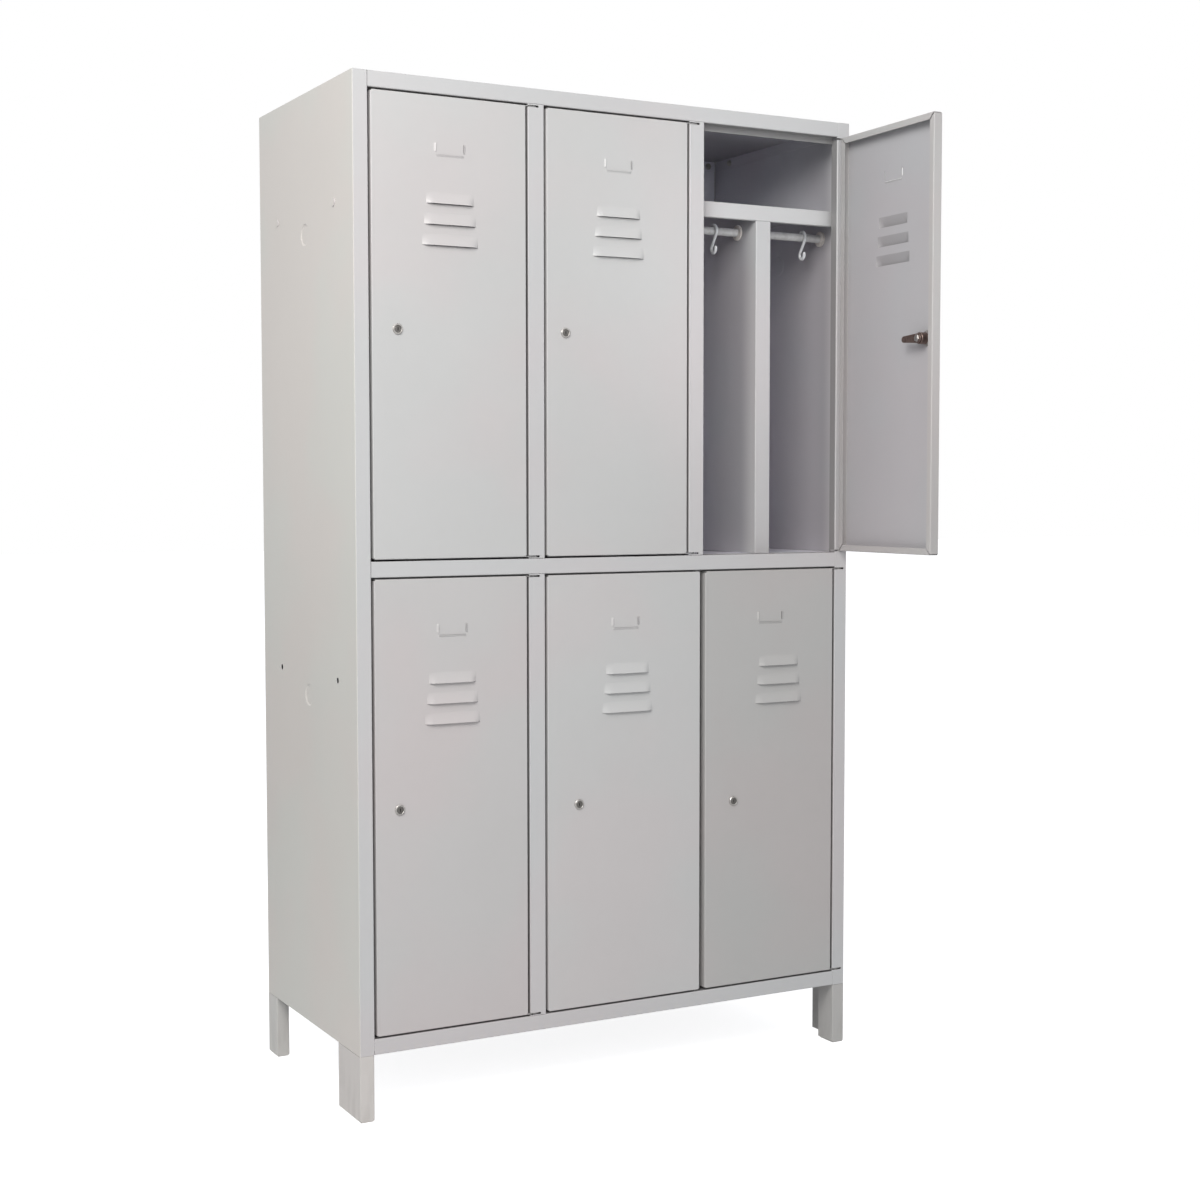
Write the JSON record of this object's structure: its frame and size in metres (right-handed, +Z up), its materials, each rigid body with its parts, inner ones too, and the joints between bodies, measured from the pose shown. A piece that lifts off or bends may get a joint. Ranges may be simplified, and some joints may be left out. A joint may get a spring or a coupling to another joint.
{
  "type": "clean and dirty clothes locker",
  "caption": "Two-tier steel changing-room locker on legs; each compartment has a hat shelf, a divider for clean and dirty clothes, hanging rods, sliding hooks, a louvred door and a cam lock.",
  "frame": {"origin": "on the floor, under the middle of everything including the open door", "axes": "+Z up, -Y out of the doors, +X to the right as seen from the front"},
  "size_m": [1.0536, 0.8105, 1.85],
  "materials": {
    "body_paint": "satin powder coat, light warm grey",
    "back_paint": "satin powder coat, light warm grey",
    "door_paint": "satin powder coat, grey",
    "inner_paint": "satin powder coat, grey",
    "leg_paint": "satin powder coat, grey",
    "zinc_plate": "bright zinc plate",
    "lock_metal": "nickelled face, darkened body",
    "cam_steel": "oiled dark steel",
    "hook_plastic": "white moulded plastic"
  },
  "bodies": {
    "frame": {"left_side_panel": "body_paint", "right_side_panel": "body_paint", "back_panel": "back_paint", "top_panel": "body_paint", "middle_shelf": "body_paint", "bottom_panel": "body_paint", "upper_left_partition": "inner_paint", "upper_middle_partition": "inner_paint", "lower_left_partition": "inner_paint", "lower_middle_partition": "inner_paint", "upper_left_hat_shelf": "inner_paint", "upper_left_clothes_divider": "inner_paint", "upper_middle_hat_shelf": "inner_paint", "upper_middle_clothes_divider": "inner_paint", "upper_right_hat_shelf": "inner_paint", "upper_right_clothes_divider": "inner_paint", "lower_left_hat_shelf": "inner_paint", "lower_left_clothes_divider": "inner_paint", "lower_middle_hat_shelf": "inner_paint", "lower_middle_clothes_divider": "inner_paint", "lower_right_hat_shelf": "inner_paint", "lower_right_clothes_divider": "inner_paint", "front_left_leg": "leg_paint", "front_right_leg": "leg_paint", "rear_left_leg": "leg_paint", "rear_right_leg": "leg_paint", "upper_right_top_hinge_bracket": "zinc_plate", "upper_right_bottom_hinge_bracket": "zinc_plate", "lower_right_top_hinge_bracket": "zinc_plate", "lower_right_bottom_hinge_bracket": "zinc_plate"},
    "door_upper_left": {"upper_left_door": "door_paint", "upper_left_lock": "lock_metal"},
    "cam_upper_left": {"upper_left_lock_cam": "cam_steel"},
    "door_upper_middle": {"upper_middle_door": "door_paint", "upper_middle_lock": "lock_metal"},
    "cam_upper_middle": {"upper_middle_lock_cam": "cam_steel"},
    "door_upper_right": {"upper_right_door": "door_paint", "upper_right_lock": "lock_metal"},
    "cam_upper_right": {"upper_right_lock_cam": "cam_steel"},
    "door_lower_left": {"lower_left_door": "door_paint", "lower_left_lock": "lock_metal"},
    "cam_lower_left": {"lower_left_lock_cam": "cam_steel"},
    "door_lower_middle": {"lower_middle_door": "door_paint", "lower_middle_lock": "lock_metal"},
    "cam_lower_middle": {"lower_middle_lock_cam": "cam_steel"},
    "door_lower_right": {"lower_right_door": "door_paint", "lower_right_lock": "lock_metal"},
    "cam_lower_right": {"lower_right_lock_cam": "cam_steel"},
    "hook_upper_left_clean": {"upper_left_clean_hook": "hook_plastic"},
    "hook_upper_left_dirty": {"upper_left_dirty_hook": "hook_plastic"},
    "hook_upper_middle_clean": {"upper_middle_clean_hook": "hook_plastic"},
    "hook_upper_middle_dirty": {"upper_middle_dirty_hook": "hook_plastic"},
    "hook_upper_right_clean": {"upper_right_clean_hook": "hook_plastic"},
    "hook_upper_right_dirty": {"upper_right_dirty_hook": "hook_plastic"},
    "hook_lower_left_clean": {"lower_left_clean_hook": "hook_plastic"},
    "hook_lower_left_dirty": {"lower_left_dirty_hook": "hook_plastic"},
    "hook_lower_middle_clean": {"lower_middle_clean_hook": "hook_plastic"},
    "hook_lower_middle_dirty": {"lower_middle_dirty_hook": "hook_plastic"},
    "hook_lower_right_clean": {"lower_right_clean_hook": "hook_plastic"},
    "hook_lower_right_dirty": {"lower_right_dirty_hook": "hook_plastic"}
  },
  "joints": [
    {"name": "upper_left_door_hinge", "type": "hinge", "parent": "frame", "child": "door_upper_left", "pos_m": [-0.1736, -0.08625, 1.4105], "axis": [0, 0, 1], "range_deg": [0, 95]},
    {"name": "upper_left_cam_turn", "type": "hinge", "parent": "door_upper_left", "child": "cam_upper_left", "pos_m": [-0.4435, -0.09425, 1.407], "axis": [0, 1, 0], "range_deg": [0, 180]},
    {"name": "upper_middle_door_hinge", "type": "hinge", "parent": "frame", "child": "door_upper_middle", "pos_m": [0.1684, -0.08625, 1.4105], "axis": [0, 0, 1], "range_deg": [0, 95]},
    {"name": "upper_middle_cam_turn", "type": "hinge", "parent": "door_upper_middle", "child": "cam_upper_middle", "pos_m": [-0.1115, -0.09425, 1.413], "axis": [0, 1, 0], "range_deg": [0, 180]},
    {"name": "upper_right_door_hinge", "type": "hinge", "parent": "frame", "child": "door_upper_right", "pos_m": [0.5104, -0.08625, 1.4105], "axis": [0, 0, 1], "range_deg": [-88.5, 6.5]},
    {"name": "upper_right_cam_turn", "type": "hinge", "parent": "door_upper_right", "child": "cam_upper_right", "pos_m": [0.51107, -0.36626, 1.407], "axis": [-0.9997, 0.0262, 0], "range_deg": [0, 180]},
    {"name": "lower_left_door_hinge", "type": "hinge", "parent": "frame", "child": "door_lower_left", "pos_m": [-0.1736, -0.08625, 0.5595], "axis": [0, 0, 1], "range_deg": [0, 95]},
    {"name": "lower_left_cam_turn", "type": "hinge", "parent": "door_lower_left", "child": "cam_lower_left", "pos_m": [-0.4455, -0.09425, 0.556], "axis": [0, 1, 0], "range_deg": [0, 180]},
    {"name": "lower_middle_door_hinge", "type": "hinge", "parent": "frame", "child": "door_lower_middle", "pos_m": [0.174, -0.08625, 0.5595], "axis": [0, 0, 1], "range_deg": [0, 95]},
    {"name": "lower_middle_cam_turn", "type": "hinge", "parent": "door_lower_middle", "child": "cam_lower_middle", "pos_m": [-0.0845, -0.09425, 0.537], "axis": [0, 1, 0], "range_deg": [0, 180]},
    {"name": "lower_right_door_hinge", "type": "hinge", "parent": "frame", "child": "door_lower_right", "pos_m": [0.5104, -0.08625, 0.5595], "axis": [0, 0, 1], "range_deg": [0, 95]},
    {"name": "lower_right_cam_turn", "type": "hinge", "parent": "door_lower_right", "child": "cam_lower_right", "pos_m": [0.2575, -0.09425, 0.516], "axis": [0, 1, 0], "range_deg": [0, 180]},
    {"name": "upper_left_clean_hook_slide", "type": "slide", "parent": "frame", "child": "hook_upper_left_clean", "axis": [1, 0, 0], "range_m": [-0.1014, 0.0486]},
    {"name": "upper_left_dirty_hook_slide", "type": "slide", "parent": "frame", "child": "hook_upper_left_dirty", "axis": [1, 0, 0], "range_m": [-0.1242, 0.0318]},
    {"name": "upper_middle_clean_hook_slide", "type": "slide", "parent": "frame", "child": "hook_upper_middle_clean", "axis": [1, 0, 0], "range_m": [-0.104, 0.05]},
    {"name": "upper_middle_dirty_hook_slide", "type": "slide", "parent": "frame", "child": "hook_upper_middle_dirty", "axis": [1, 0, 0], "range_m": [-0.1242, 0.0318]},
    {"name": "upper_right_clean_hook_slide", "type": "slide", "parent": "frame", "child": "hook_upper_right_clean", "axis": [1, 0, 0], "range_m": [-0.104, 0.05]},
    {"name": "upper_right_dirty_hook_slide", "type": "slide", "parent": "frame", "child": "hook_upper_right_dirty", "axis": [1, 0, 0], "range_m": [-0.145, 0.038]},
    {"name": "lower_left_clean_hook_slide", "type": "slide", "parent": "frame", "child": "hook_lower_left_clean", "axis": [1, 0, 0], "range_m": [-0.1014, 0.0486]},
    {"name": "lower_left_dirty_hook_slide", "type": "slide", "parent": "frame", "child": "hook_lower_left_dirty", "axis": [1, 0, 0], "range_m": [-0.1242, 0.0318]},
    {"name": "lower_middle_clean_hook_slide", "type": "slide", "parent": "frame", "child": "hook_lower_middle_clean", "axis": [1, 0, 0], "range_m": [-0.104, 0.05]},
    {"name": "lower_middle_dirty_hook_slide", "type": "slide", "parent": "frame", "child": "hook_lower_middle_dirty", "axis": [1, 0, 0], "range_m": [-0.1242, 0.0318]},
    {"name": "lower_right_clean_hook_slide", "type": "slide", "parent": "frame", "child": "hook_lower_right_clean", "axis": [1, 0, 0], "range_m": [-0.104, 0.05]},
    {"name": "lower_right_dirty_hook_slide", "type": "slide", "parent": "frame", "child": "hook_lower_right_dirty", "axis": [1, 0, 0], "range_m": [-0.145, 0.038]}
  ]
}
